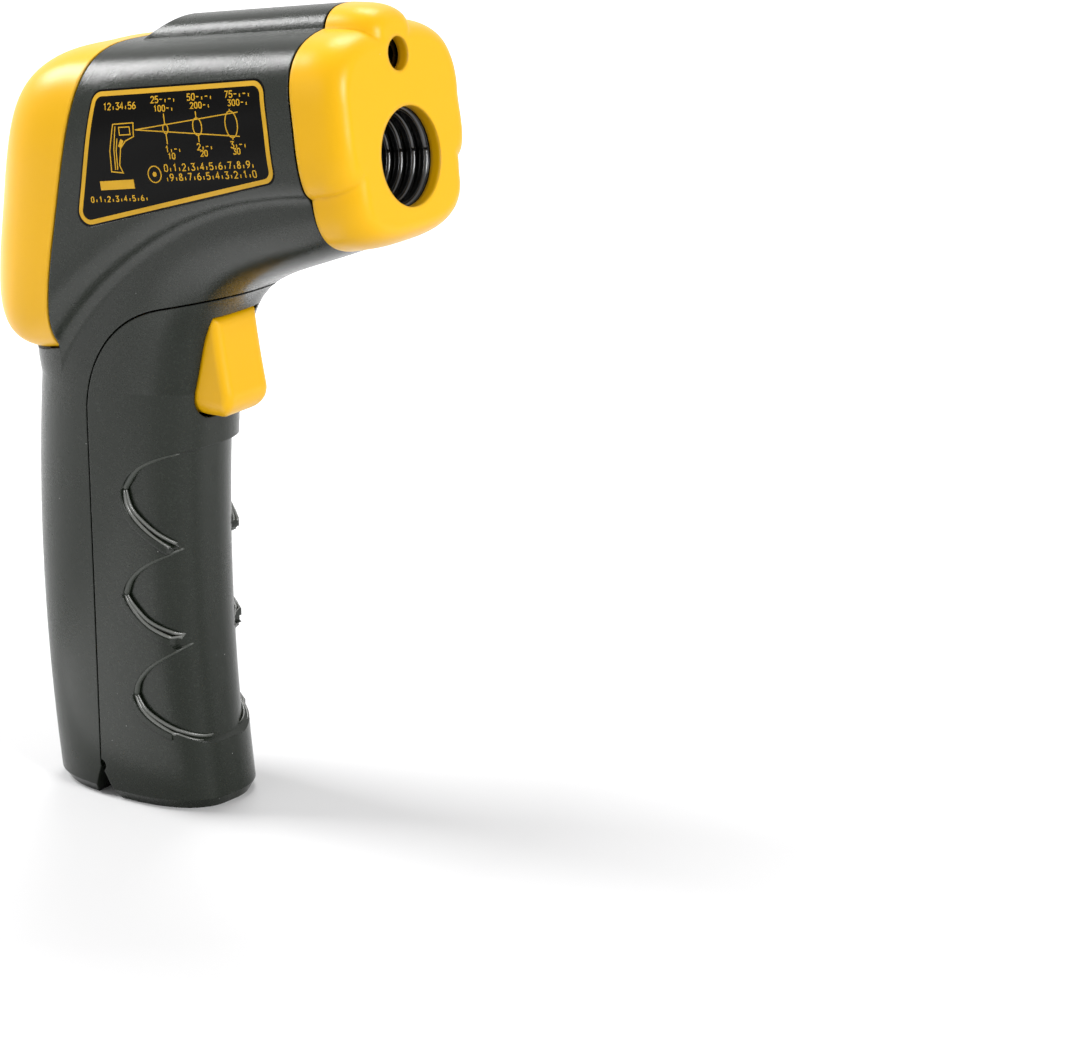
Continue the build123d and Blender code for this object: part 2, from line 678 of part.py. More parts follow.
def cell(y, low, up):
    body_low = low if up else low + nub_length
    body = Pos(cell_x, y, body_low) * Cylinder(cell_radius, cell_length - nub_length,
                                               align=(Align.CENTER, Align.CENTER, Align.MIN))
    body = chamfer(body.edges(), 0.4)
    nub_low = low + cell_length - nub_length if up else low
    return body + Pos(cell_x, y, nub_low) * Cylinder(nub_radius, nub_length,
                                                      align=(Align.CENTER, Align.CENTER, Align.MIN))


nub_gap = 0.2
up_low = tray_ceiling - contact_thick - nub_gap - cell_length
down_low = tray_floor + contact_thick + nub_gap
write("battery_cells", Compound(children=[cell(cell_y, up_low, True), cell(-cell_y, down_low, False)]))
contact_side = 3.7
contacts = [slab((cell_x - contact_side, cell_x + contact_side), (y - contact_side, y + contact_side),
                 (tray_floor, tray_floor + contact_thick)) for y in (-cell_y, cell_y)]
contacts.append(slab((cell_x - contact_side, cell_x + contact_side),
                     (-cell_y - contact_side, cell_y + contact_side),
                     (tray_ceiling - contact_thick, tray_ceiling)))
tray = slab((tray_back, cell_x), (-20, 20), (tray_low, tray_ceiling + tray_wall))
for y in (-cell_y, cell_y):
    tray -= Pos(cell_x, y, (tray_floor + tray_ceiling) / 2) * Cylinder(cell_radius + 0.2, tray_room)
tray -= slab((cell_x - 2, cell_x + 1), (-cell_y, cell_y), (tray_floor, tray_ceiling))
tray -= slab((cell_x - contact_side - 0.1, cell_x + 1), (-cell_y, cell_y),
             (tray_ceiling - contact_thick - 0.1, tray_ceiling))
for low in (tray_low, tray_ceiling):
    tray += slab((tray_back, hinge_x + 0.3), (-20, 20), (low, low + tray_wall))
spine_front = switch_back - trigger_board_thick - run_gap
tray += slab((spine_front - spine_thick, spine_front), (-spine_half, spine_half),
             (tray_ceiling, trigger_board_high - 2))
tray &= grip(wall + fit_gap, tray_low - 5) + slab((tray_back, 0), (-spine_half, spine_half), (70, 100))
write("battery_tray", tray)
write("battery_contacts", Compound(children=contacts))
coil_height = tray_room - cell_length - 2 * contact_thick - nub_gap - 0.7
springs = [coil(1.15, coil_height, 3.3, 0.3, Pos(cell_x, cell_y, tray_floor + contact_thick + 0.3)),
           coil(1.15, coil_height, 3.3, 0.3, Pos(cell_x, -cell_y, down_low + cell_length + 0.35))]
write("battery_springs", Compound(children=springs))
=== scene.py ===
import bpy, bmesh, math
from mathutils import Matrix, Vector
from mathutils.bvhtree import BVHTree


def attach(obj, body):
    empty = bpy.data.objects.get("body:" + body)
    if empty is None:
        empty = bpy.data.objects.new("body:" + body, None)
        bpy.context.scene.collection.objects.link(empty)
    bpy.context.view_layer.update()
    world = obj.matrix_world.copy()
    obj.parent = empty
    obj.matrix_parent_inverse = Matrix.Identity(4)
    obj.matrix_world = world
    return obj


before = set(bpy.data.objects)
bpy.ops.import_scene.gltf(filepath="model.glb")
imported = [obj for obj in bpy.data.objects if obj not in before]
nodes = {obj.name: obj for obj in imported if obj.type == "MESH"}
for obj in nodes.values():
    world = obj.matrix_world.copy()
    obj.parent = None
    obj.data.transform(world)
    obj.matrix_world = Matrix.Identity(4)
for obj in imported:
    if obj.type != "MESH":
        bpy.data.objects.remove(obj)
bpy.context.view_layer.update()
mm = 0.001
print("frame loaded:", len(nodes), "nodes")

# camera, floor and lamps

viewpoint = {"azimuth": 32.96, "elevation": 17.7, "place": (409.1, -490.5, 254.3),
             "lens": 113.42, "sensor": 36.0, "clip": (0.02, 20)}


def makeCamera():
    look = viewpoint
    azimuth, elevation = math.radians(look["azimuth"]), math.radians(look["elevation"])
    level = math.cos(elevation)
    back = Vector((math.sin(azimuth) * level, -math.cos(azimuth) * level, math.sin(elevation)))
    data = bpy.data.cameras.new("camera")
    data.lens, data.sensor_width = look["lens"], look["sensor"]
    data.clip_start, data.clip_end = look["clip"]
    camera = bpy.data.objects.new("camera", data)
    camera.location = Vector(look["place"]) * mm
    camera.rotation_mode = "QUATERNION"
    camera.rotation_quaternion = (-back).to_track_quat("-Z", "Y")
    bpy.context.scene.collection.objects.link(camera)
    bpy.context.scene.camera = camera


def newMaterial(name):
    material = bpy.data.materials.new(name)
    material.use_nodes = True
    tree = material.node_tree
    return material, tree, tree.nodes["Principled BSDF"]


def link(tree, start, end):
    tree.links.new(start, end)


def remap(tree, source, low, high, toLow=0.0, toHigh=1.0):
    node = tree.nodes.new("ShaderNodeMapRange")
    titles = ("From Min", "From Max", "To Min", "To Max")
    for title, value in zip(titles, (low, high, toLow, toHigh)):
        node.inputs[title].default_value = value
    link(tree, source, node.inputs["Value"])
    return node.outputs["Result"]


def combine(tree, operation, first, second):
    node = tree.nodes.new("ShaderNodeMath")
    node.operation = operation
    for socket, value in zip(node.inputs, (first, second)):
        if isinstance(value, (int, float)):
            socket.default_value = value
        else:
            link(tree, value, socket)
    return node.outputs[0]


def mixColour(tree, factor, first, second):
    node = tree.nodes.new("ShaderNodeMix")
    node.data_type = "RGBA"
    # sockets 6 and 7 are the colours of a mix, and its third output is the mixed one
    for number, value in ((0, factor), (6, first), (7, second)):
        if isinstance(value, tuple):
            node.inputs[number].default_value = value
        else:
            link(tree, value, node.inputs[number])
    return node.outputs[2]


def seenRay(tree):
    # 1 on rays that show a surface, straight, mirrored or through glass, and 0 on its light
    path = tree.nodes.new("ShaderNodeLightPath")
    seen = combine(tree, "MAXIMUM", path.outputs["Is Camera Ray"], path.outputs["Is Glossy Ray"])
    return combine(tree, "MAXIMUM", seen, path.outputs["Is Transmission Ray"])


# size and spread in metres
floorLook = {"size": 6.0, "colour": (0.46, 0.46, 0.465, 1), "seen": (0.74, 0.74, 0.745, 1),
             "roughness": 0.6, "specular": 0.1, "lift": (0.0, 0.7), "spread": (0.08, 0.42)}


def makeFloor():
    look = floorLook
    half = look["size"] / 2
    corners = [(-half, -half, 0), (half, -half, 0), (half, half, 0), (-half, half, 0)]
    mesh = bpy.data.meshes.new("floor")
    mesh.from_pydata(corners, [], [(0, 1, 2, 3)])
    floor = bpy.data.objects.new("floor", mesh)
    bpy.context.scene.collection.objects.link(floor)
    material, tree, skin = newMaterial("floorPaper")
    skin.inputs["Roughness"].default_value = look["roughness"]
    skin.inputs["Specular IOR Level"].default_value = look["specular"]
    seen = seenRay(tree)
    colour = mixColour(tree, seen, look["colour"], look["seen"])
    link(tree, colour, skin.inputs["Base Color"])
    # the paper brightens away from the object, so the shadow beside it stays
    spot = tree.nodes.new("ShaderNodeTexCoord")
    reach = tree.nodes.new("ShaderNodeVectorMath")
    reach.operation = "LENGTH"
    link(tree, spot.outputs["Object"], reach.inputs[0])
    lift = remap(tree, reach.outputs["Value"], *look["spread"], *look["lift"])
    glow = tree.nodes.new("ShaderNodeEmission")
    link(tree, combine(tree, "MULTIPLY", seen, lift), glow.inputs["Strength"])
    both = tree.nodes.new("ShaderNodeAddShader")
    link(tree, skin.outputs[0], both.inputs[0])
    link(tree, glow.outputs[0], both.inputs[1])
    link(tree, both.outputs[0], tree.nodes["Material Output"].inputs["Surface"])
    mesh.materials.append(material)


# strength of the room's even light, and of its white walls where they are seen
roomLook = {"colour": (1, 1, 1, 1), "light": 0.34, "walls": 1.0}


def makeWorld():
    world = bpy.data.worlds.new("room")
    bpy.context.scene.world = world
    world.use_nodes = True
    tree = world.node_tree
    background = tree.nodes["Background"]
    background.inputs["Color"].default_value = roomLook["colour"]
    strength = remap(tree, seenRay(tree), 0.0, 1.0, roomLook["light"], roomLook["walls"])
    link(tree, strength, background.inputs["Strength"])


# place and aim in millimetres, size in metres
lampPlan = {
    "key": {"place": (-694, -147, 694), "aim": (0, 0, 140), "size": (0.40, 0.42), "power": 9.6},
    "overhead": {"place": (-240, 472, 988), "aim": (0, 0, 140), "size": (0.4, 0.4), "power": 4.4},
    "front": {"place": (900, -160, 420), "aim": (20, 0, 100), "size": (0.36, 0.36), "power": 7.2},
    "side": {"place": (-260, -960, 420), "aim": (0, 0, 90), "size": (0.6, 0.6), "power": 1.1},
    "low": {"place": (-25, -95, 3), "aim": (-25, -95, 100), "size": (0.10, 0.14), "power": 0.055},
}


def makeLamps():
    for name, lamp in lampPlan.items():
        data = bpy.data.lights.new(name, "AREA")
        data.shape = "RECTANGLE"
        data.size, data.size_y = lamp["size"]
        data.energy = lamp["power"]
        light = bpy.data.objects.new(name, data)
        light.location = Vector(lamp["place"]) * mm
        direction = Vector(lamp["aim"]) * mm - light.location
        light.rotation_mode = "QUATERNION"
        light.rotation_quaternion = direction.to_track_quat("-Z", "Y")
        light.visible_camera = False
        bpy.context.scene.collection.objects.link(light)


makeCamera()
makeFloor()
makeWorld()
makeLamps()
bpy.context.scene.view_settings.view_transform = "Standard"
print("camera, floor and lamps placed")

# shared effects, as node groups

# the part of each noise that an effect picks, and the detail of the noise
effects = {"grainDetail": 3.0, "facet": (0.62, 0.95), "glossDetail": 4.0, "gloss": (0.3, 0.7),
           "edge": (0.995, 0.8), "patchDetail": 3.0, "patch": (0.42, 0.62),
           "speck": (0.16, 0.06), "chosen": (0.93, 0.95), "bevelSamples": 4}


def newGroup(name, inputs, outputs):
    group = bpy.data.node_groups.new(name, "ShaderNodeTree")
    for title, value in inputs.items():
        kind = "NodeSocketVector" if isinstance(value, tuple) else "NodeSocketFloat"
        socket = group.interface.new_socket(title, in_out="INPUT", socket_type=kind)
        socket.default_value = value
    for title in outputs:
        group.interface.new_socket(title, in_out="OUTPUT", socket_type="NodeSocketFloat")
    return group, group.nodes.new("NodeGroupInput"), group.nodes.new("NodeGroupOutput")


def sizedNoise(group, size, detail=None):
    # noise whose grain is the given size in millimetres, or cells where no detail is given
    kind = "ShaderNodeTexVoronoi" if detail is None else "ShaderNodeTexNoise"
    spot = group.nodes.new("ShaderNodeTexCoord")
    noise = group.nodes.new(kind)
    link(group, spot.outputs["Object"], noise.inputs["Vector"])
    link(group, combine(group, "DIVIDE", 1 / mm, size), noise.inputs["Scale"])
    if detail is not None:
        noise.inputs["Detail"].default_value = detail
    return noise


def makeGrain():
    # spark-eroded moulding texture: a height, and a mask of spots where glints are painted into
    # the colour and the gloss is raised
    group, given, result = newGroup("mouldGrain", {"Size": 0.35}, ("Height", "GlintPaintAndGloss"))
    noise = sizedNoise(group, given.outputs["Size"], effects["grainDetail"])
    cells = sizedNoise(group, given.outputs["Size"])
    bright = remap(group, cells.outputs["Color"], *effects["facet"])
    link(group, noise.outputs["Fac"], result.inputs["Height"])
    link(group, bright, result.inputs["GlintPaintAndGloss"])
    return group


def makeHandling():
    # broad uneven gloss from moulding and touch
    group, given, result = newGroup("handling", {"Size": 18.0, "Amount": 0.08, "Roughness": 0.4},
                                    ("Roughness", "Mask"))
    noise = sizedNoise(group, given.outputs["Size"], effects["glossDetail"])
    mask = remap(group, noise.outputs["Fac"], *effects["gloss"])
    centred = combine(group, "SUBTRACT", mask, 0.5)
    change = combine(group, "MULTIPLY", centred, given.outputs["Amount"])
    rough = combine(group, "ADD", given.outputs["Roughness"], change)
    link(group, rough, result.inputs["Roughness"])
    link(group, mask, result.inputs["Mask"])
    return group


def makeEdgeWear():
    # where a rounded normal leaves the true one there is an edge, worn in patches
    given = {"Rounded": (0, 0, 1), "Strength": 0.3, "Patches": 6.0}
    group, given, result = newGroup("edgeWear", given, ("Mask",))
    surface = group.nodes.new("ShaderNodeNewGeometry")
    dot = group.nodes.new("ShaderNodeVectorMath")
    dot.operation = "DOT_PRODUCT"
    link(group, given.outputs["Rounded"], dot.inputs[0])
    link(group, surface.outputs["Normal"], dot.inputs[1])
    edge = remap(group, dot.outputs["Value"], *effects["edge"])
    noise = sizedNoise(group, given.outputs["Patches"], effects["patchDetail"])
    patches = remap(group, noise.outputs["Fac"], *effects["patch"])
    worn = combine(group, "MULTIPLY", edge, patches)
    mask = combine(group, "MULTIPLY", worn, given.outputs["Strength"])
    link(group, mask, result.inputs["Mask"])
    return group


def makeDust():
    # a few small light specks
    group, given, result = newGroup("dust", {"Size": 0.9, "Amount": 0.5}, ("Mask",))
    cells = sizedNoise(group, given.outputs["Size"])
    speck = remap(group, cells.outputs["Distance"], *effects["speck"])
    chosen = remap(group, cells.outputs["Color"], *effects["chosen"])
    specks = combine(group, "MULTIPLY", speck, chosen)
    mask = combine(group, "MULTIPLY", specks, given.outputs["Amount"])
    link(group, mask, result.inputs["Mask"])
    return group


grainGroup = makeGrain()
handlingGroup = makeHandling()
wearGroup = makeEdgeWear()
dustGroup = makeDust()
print("shared effects made")


def addEffect(tree, group, **values):
    node = tree.nodes.new("ShaderNodeGroup")
    node.node_tree = group
    for title, value in values.items():
        node.inputs[title].default_value = value
    return node


def bumpInto(tree, skin, height, distance, under=None):
    # distance in millimetres
    bump = tree.nodes.new("ShaderNodeBump")
    bump.inputs["Distance"].default_value = distance * mm
    link(tree, height, bump.inputs["Height"])
    if under is not None:
        link(tree, under, bump.inputs["Normal"])
    link(tree, bump.outputs["Normal"], skin.inputs["Normal"])


def fineBump(tree, skin, look):
    grain = addEffect(tree, grainGroup, Size=look["grain"])
    bumpInto(tree, skin, grain.outputs["Height"], look["depth"])


def unevenGloss(tree, skin, roughness, look):
    # varies the roughness by patches, and returns the mask of the patches
    handling = addEffect(tree, handlingGroup, Roughness=roughness, Amount=look["uneven"],
                         Size=look["patch"])
    link(tree, handling.outputs["Roughness"], skin.inputs["Roughness"])
    return handling.outputs["Mask"]


def roundEdges(tree, radius):
    # the normal as if every edge had this radius, in millimetres
    bevel = tree.nodes.new("ShaderNodeBevel")
    bevel.samples = effects["bevelSamples"]
    bevel.inputs["Radius"].default_value = radius * mm
    return bevel.outputs["Normal"]


# finishes

# in each moulding, "light" is the colour of its painted glints
mouldings = {
    "housing_grey": {"colour": (0.0055, 0.0085, 0.0045, 1), "light": (0.020, 0.026, 0.019, 1),
                     "worn": (0.05, 0.05, 0.05, 1), "roughness": 0.27, "specular": 0.32,
                     "grain": 0.34, "depth": 0.035, "edge": 0.35, "sparkle": 0.55, "wear": 0.3},
    # a lighter grey for the rolls on the upper rims: a painted light band
    "roll_painted_sheen": {"colour": (0.035, 0.04, 0.033, 1), "light": (0.05, 0.055, 0.047, 1),
                  "worn": (0.08, 0.08, 0.075, 1), "roughness": 0.36, "specular": 0.4,
                  "grain": 0.34, "depth": 0.02, "edge": 0.3, "sparkle": 0.4, "wear": 0.2},
    # a lighter grey for the groove beads: a painted highlight along the lower rims
    "ridge_painted_highlight": {"colour": (0.11, 0.115, 0.105, 1), "light": (0.15, 0.155, 0.145, 1),
                   "worn": (0.2, 0.2, 0.19, 1), "roughness": 0.25, "specular": 0.7,
                   "grain": 0.3, "depth": 0.01, "edge": 0.05, "sparkle": 0.3, "wear": 0.3},
    "trim_yellow": {"colour": (0.86, 0.46, 0.001, 1), "light": (0.92, 0.52, 0.004, 1),
                    "worn": (0.92, 0.56, 0.03, 1), "roughness": 0.32, "specular": 0.30,
                    "grain": 0.30, "depth": 0.008, "edge": 1.1, "sparkle": 0.08, "wear": 0.35},
    "tube_black": {"colour": (0.006, 0.006, 0.006, 1), "light": (0.014, 0.014, 0.014, 1),
                   "worn": (0.05, 0.05, 0.05, 1), "roughness": 0.14, "specular": 0.7,
                   "grain": 0.25, "depth": 0.006, "edge": 0.2, "sparkle": 0.2, "wear": 0.2},
    "rubber_grey": {"colour": (0.10, 0.105, 0.11, 1), "light": (0.14, 0.14, 0.145, 1),
                    "worn": (0.2, 0.2, 0.2, 1), "roughness": 0.6, "specular": 0.4,
                    "grain": 0.18, "depth": 0.012, "edge": 0.25, "sparkle": 0.1, "wear": 0.2},
    "chip_black": {"colour": (0.012, 0.012, 0.013, 1), "light": (0.03, 0.03, 0.03, 1),
                   "worn": (0.08, 0.08, 0.08, 1), "roughness": 0.5, "specular": 0.5,
                   "grain": 0.15, "depth": 0.01, "edge": 0.1, "sparkle": 0.2, "wear": 0.2},
    "diffuser_white": {"colour": (0.82, 0.82, 0.79, 1), "light": (0.9, 0.9, 0.88, 1),
                       "worn": (0.95, 0.95, 0.94, 1), "roughness": 0.5, "specular": 0.5,
                       "grain": 0.3, "depth": 0.01, "edge": 0.15, "sparkle": 0.2, "wear": 0.1},
    "board_green": {"colour": (0.012, 0.10, 0.035, 1), "light": (0.02, 0.16, 0.06, 1),
                    "worn": (0.2, 0.22, 0.1, 1), "roughness": 0.3, "specular": 0.55,
                    "grain": 0.6, "depth": 0.01, "edge": 0.08, "sparkle": 0.3, "wear": 0.4},
}
# what the mouldings share: uneven gloss, smoother facets and the colour of dust
mouldedSurface = {"uneven": 0.04, "glint": 0.12, "dust": (0.6, 0.6, 0.58, 1)}


def moulded(name, look):
    # coloured plastic: grain, painted glints with raised gloss, uneven gloss, worn edges and a few
    # specks of dust
    material, tree, skin = newMaterial(name + "Finish")
    skin.inputs["Specular IOR Level"].default_value = look["specular"]
    grain = addEffect(tree, grainGroup, Size=look["grain"])
    handling = addEffect(tree, handlingGroup, Roughness=look["roughness"],
                         Amount=mouldedSurface["uneven"])
    rounded = roundEdges(tree, look["edge"])
    wear = addEffect(tree, wearGroup, Strength=look["wear"])
    link(tree, rounded, wear.inputs["Rounded"])
    dust = addEffect(tree, dustGroup)
    # painted glints: the colour turns lighter at random spots, where the gloss is also raised
    sparkle = combine(tree, "MULTIPLY", grain.outputs["GlintPaintAndGloss"], look["sparkle"])
    colour = mixColour(tree, sparkle, look["colour"], look["light"])
    colour = mixColour(tree, wear.outputs["Mask"], colour, look["worn"])
    colour = mixColour(tree, dust.outputs["Mask"], colour, mouldedSurface["dust"])
    link(tree, colour, skin.inputs["Base Color"])
    glint = combine(tree, "MULTIPLY", sparkle, mouldedSurface["glint"])
    rough = combine(tree, "SUBTRACT", handling.outputs["Roughness"], glint)
    link(tree, rough, skin.inputs["Roughness"])
    bumpInto(tree, skin, grain.outputs["Height"], look["depth"], under=rounded)
    return material


films = {
    "panelBlack": {"colour": (0.001, 0.0008, 0.0006, 1), "roughness": 0.18, "specular": 0.08},
    "cellWrap": {"colour": (0.02, 0.02, 0.03, 1), "roughness": 0.25, "specular": 0.4},
    "printYellow": {"colour": (0.72, 0.40, 0.012, 1), "roughness": 0.4, "specular": 0.3},
    "printWhite": {"colour": (0.75, 0.75, 0.73, 1), "roughness": 0.4, "specular": 0.4},
    "segmentDark": {"colour": (0.15, 0.185, 0.14, 1), "roughness": 0.3, "specular": 0.4},
}
filmSurface = {"uneven": 0.1, "patch": 9.0, "shade": 0.82, "grain": 0.5, "depth": 0.004,
               "speck": 1.1, "specks": 0.6, "dust": (0.5, 0.5, 0.48, 1)}


def printedFilm(name, look):
    share = filmSurface
    material, tree, skin = newMaterial(name + "Finish")
    skin.inputs["Specular IOR Level"].default_value = look["specular"]
    mask = unevenGloss(tree, skin, look["roughness"], share)
    dust = addEffect(tree, dustGroup, Size=share["speck"], Amount=share["specks"])
    shaded = tuple(share["shade"] * part for part in look["colour"][:3]) + (1,)
    colour = mixColour(tree, mask, look["colour"], shaded)
    colour = mixColour(tree, dust.outputs["Mask"], colour, share["dust"])
    link(tree, colour, skin.inputs["Base Color"])
    fineBump(tree, skin, share)
    return material


metals = {
    "steel": {"colour": (0.62, 0.62, 0.62, 1), "dark": (0.48, 0.48, 0.48, 1), "roughness": 0.28},
    # the brass is coloured near black so that the laser hole reads dark: painted shade of the deep
    # hole
    "brass": {"colour": (0.035, 0.028, 0.015, 1), "dark": (0.02, 0.016, 0.01, 1),
              "roughness": 0.3},
}
metalSurface = {"uneven": 0.16, "patch": 3.0, "grain": 0.2, "depth": 0.006}


def metal(name, look):
    material, tree, skin = newMaterial(name + "Finish")
    skin.inputs["Metallic"].default_value = 1.0
    mask = unevenGloss(tree, skin, look["roughness"], metalSurface)
    link(tree, mixColour(tree, mask, look["colour"], look["dark"]), skin.inputs["Base Color"])
    fineBump(tree, skin, metalSurface)
    return material


clears = {
    "windowClear": {"colour": (0.97, 0.98, 0.97, 1), "roughness": 0.04},
    "lensClear": {"colour": (0.12, 0.02, 0.02, 1), "roughness": 0.03},
}
clearSurface = {"index": 1.49, "uneven": 0.04, "patch": 6.0, "speck": 1.3, "specks": 0.4,
                "dust": (0.7, 0.7, 0.7, 1)}


def clear(name):
    look, share = clears[name], clearSurface
    material, tree, skin = newMaterial(name + "Finish")
    skin.inputs["Transmission Weight"].default_value = 1.0
    skin.inputs["IOR"].default_value = share["index"]
    unevenGloss(tree, skin, look["roughness"], share)
    dust = addEffect(tree, dustGroup, Size=share["speck"], Amount=share["specks"])
    colour = mixColour(tree, dust.outputs["Mask"], look["colour"], share["dust"])
    link(tree, colour, skin.inputs["Base Color"])
    return material


displayLook = {"colour": (0.30, 0.36, 0.27, 1), "light": (0.36, 0.42, 0.32, 1), "specular": 0.5,
               "roughness": 0.22, "uneven": 0.06, "patch": 14.0, "grain": 0.25, "depth": 0.003}


def liquidCrystal():
    # reflective grey-green panel with a fine weave
    look = displayLook
    material, tree, skin = newMaterial("lcdFinish")
    skin.inputs["Specular IOR Level"].default_value = look["specular"]
    mask = unevenGloss(tree, skin, look["roughness"], look)
    link(tree, mixColour(tree, mask, look["colour"], look["light"]), skin.inputs["Base Color"])
    fineBump(tree, skin, look)
    return material


lensLook = {"straight": (0.03, 0.012, 0.045, 1), "slant": (0.10, 0.03, 0.02, 1), "specular": 0.5,
            "coat": 0.4, "roughness": 0.08, "uneven": 0.04, "patch": 4.0}


def coatedLens():
    # the coating looks violet straight on, and red at a slant
    look = lensLook
    material, tree, skin = newMaterial("coatedLensFinish")
    skin.inputs["Specular IOR Level"].default_value = look["specular"]
    skin.inputs["Coat Weight"].default_value = look["coat"]
    facing = tree.nodes.new("ShaderNodeLayerWeight")
    colour = mixColour(tree, facing.outputs["Facing"], look["straight"], look["slant"])
    link(tree, colour, skin.inputs["Base Color"])
    unevenGloss(tree, skin, look["roughness"], look)
    return material


finishes = {name: moulded(name, look) for name, look in mouldings.items()}
finishes.update({name: metal(name, look) for name, look in metals.items()})
prints = {name: printedFilm(name, look) for name, look in films.items()}
finishes["panel_black"] = prints["panelBlack"]
finishes["cell_wrap"] = prints["cellWrap"]
finishes["window_clear"] = clear("windowClear")
finishes["lens_clear"] = clear("lensClear")
finishes["lcd_glass"] = liquidCrystal()
finishes["lens_dark"] = coatedLens()
for node in nodes.values():
    for row in node.material_slots:
        title = row.material.name.split(".")[0] if row.material else ""
        if title in finishes:
            row.material = finishes[title]
print("finishes made:", len(finishes))

# printed work is thin raised ink that follows the surface below it


def addPiece(name, points, faces, material, body):
    mesh = bpy.data.meshes.new(name)
    mesh.from_pydata([tuple(p) for p in points], [], faces)
    mesh.validate()
    shape = bmesh.new()
    shape.from_mesh(mesh)
    bmesh.ops.recalc_face_normals(shape, faces=shape.faces)
    shape.to_mesh(mesh)
    shape.free()
    mesh.materials.append(material)
    piece = bpy.data.objects.new(name, mesh)
    bpy.context.scene.collection.objects.link(piece)
    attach(piece, body)
    return piece


def addTubes(name, parts, finish, body):
    # tubes of quads with a flat cap at each end, joined into one piece with smooth sides
    points, faces = [], []
    for more, rows in parts:
        faces += [tuple(len(points) + v for v in row) for row in rows]
        points += more
    piece = addPiece(name, points, faces, finishes[finish], body)
    skin = piece.data.polygons
    skin.foreach_set("use_smooth", [len(face.vertices) == 4 for face in skin])


def tubeFaces(rings, sides):
    # the skin between rings of points, and a cap at each end
    faces = []
    for k in range(rings - 1):
        for m in range(sides):
            n = (m + 1) % sides
            faces.append((k * sides + m, k * sides + n, (k + 1) * sides + n, (k + 1) * sides + m))
    return faces + [tuple(range(sides)), tuple(range((rings - 1) * sides, rings * sides))]


def turns(count):
    # the angles that share out a full turn
    return [math.tau * k / count for k in range(count)]


def oval(middle, wide, tall, steps):
    return [(middle[0] + wide * math.cos(a), middle[1] + tall * math.sin(a)) for a in turns(steps)]


def surfaceOf(name):
    mesh = nodes[name].data
    return BVHTree.FromPolygons([v.co.copy() for v in mesh.vertices],
                                [list(face.vertices) for face in mesh.polygons])


def resample(points, step, closed):
    ring = points + [points[0]] if closed else points
    out = []
    for a, b in zip(ring, ring[1:]):
        count = max(1, int((b - a).length / step))
        out += [a.lerp(b, k / count) for k in range(count)]
    return out if closed else out + [ring[-1]]


# millimetres: the ink above the surface and below it, the step between its points, and a
# length that counts as nothing.
# A corner widens by one over the cosine of its half turn, which counts as no less than "sharpest"
inkLook = {"rise": 0.05, "root": 0.04, "step": 0.8, "sharpest": 0.5, "nothing": 1e-6}


def ribbon(points, width, closed):
    # left and right edge points of a drawn line
    line = resample([Vector(p) for p in points], inkLook["step"], closed)
    count, nothing = len(line), inkLook["nothing"]
    edges = []
    for k, p in enumerate(line):
        before = line[(k - 1) % count] if closed or k else p
        after = line[(k + 1) % count] if closed or k < count - 1 else p
        a, b = p - before, after - p
        a = a.normalized() if a.length > nothing else b.normalized()
        b = b.normalized() if b.length > nothing else a
        middle = (a + b).normalized() if (a + b).length > nothing else a
        side = Vector((-middle.y, middle.x))
        stretch = 1 / max(inkLook["sharpest"], side.dot(Vector((-b.y, b.x))))
        edges.append((p + side * width / 2 * stretch, p - side * width / 2 * stretch))
    return edges


def inkOn(name, strokes, spot, material, body):
    # strokes are (points, width, closed) in a flat drawing, and spot puts its points on the body
    rise, root = inkLook["rise"], inkLook["root"]
    points, faces = [], []
    for line, width, closed in strokes:
        first = len(points)
        pairs = ribbon(line, width, closed)
        for left, right in pairs:
            points += [spot(left, rise), spot(right, rise), spot(right, -root), spot(left, -root)]
        count = len(pairs)
        for k in range(count if closed else count - 1):
            a, b = first + 4 * k, first + 4 * ((k + 1) % count)
            faces += [(a + m, a + (m + 1) % 4, b + (m + 1) % 4, b + m) for m in range(4)]
        if not closed:
            end = first + 4 * (count - 1)
            faces += [tuple(range(first, first + 4)), tuple(range(end, end + 4))]
    return addPiece(name, points, faces, material, body)


# each figure is one line in a box of this width and a height of 1
figureWidth = 0.6
figures = {
    "0": [(0.15, 0), (0.45, 0), (0.6, 0.2), (0.6, 0.8), (0.45, 1), (0.15, 1), (0, 0.8), (0, 0.2),
          (0.15, 0)],
    "1": [(0.1, 0.78), (0.34, 1), (0.34, 0)],
    "2": [(0, 0.8), (0.15, 1), (0.45, 1), (0.6, 0.8), (0.6, 0.6), (0, 0), (0.6, 0)],
    "3": [(0, 1), (0.6, 1), (0.3, 0.6), (0.6, 0.42), (0.6, 0.15), (0.45, 0), (0.15, 0), (0, 0.15)],
    "4": [(0.46, 0), (0.46, 1), (0, 0.3), (0.62, 0.3)],
    "5": [(0.58, 1), (0.06, 1), (0.02, 0.56), (0.42, 0.6), (0.6, 0.42), (0.6, 0.16), (0.45, 0),
          (0.12, 0), (0, 0.13)],
    "6": [(0.5, 1), (0.2, 0.8), (0, 0.4), (0.02, 0.15), (0.15, 0), (0.45, 0), (0.6, 0.16),
          (0.58, 0.42), (0.4, 0.56), (0.04, 0.45)],
    "7": [(0, 1), (0.6, 1), (0.22, 0)],
    "8": [(0.3, 0.54), (0.08, 0.7), (0.1, 0.92), (0.3, 1), (0.5, 0.92), (0.52, 0.7), (0.3, 0.54),
          (0.02, 0.34), (0.04, 0.08), (0.3, 0), (0.56, 0.08), (0.58, 0.34), (0.3, 0.54)],
    "9": [(0.1, 0), (0.4, 0.2), (0.6, 0.6), (0.58, 0.85), (0.45, 1), (0.15, 1), (0, 0.84),
          (0.02, 0.58), (0.2, 0.44), (0.56, 0.55)],
    "|": [(0.3, 0), (0.3, 0.5)],
    "-": [(0.05, 0.5), (0.55, 0.5)],
}

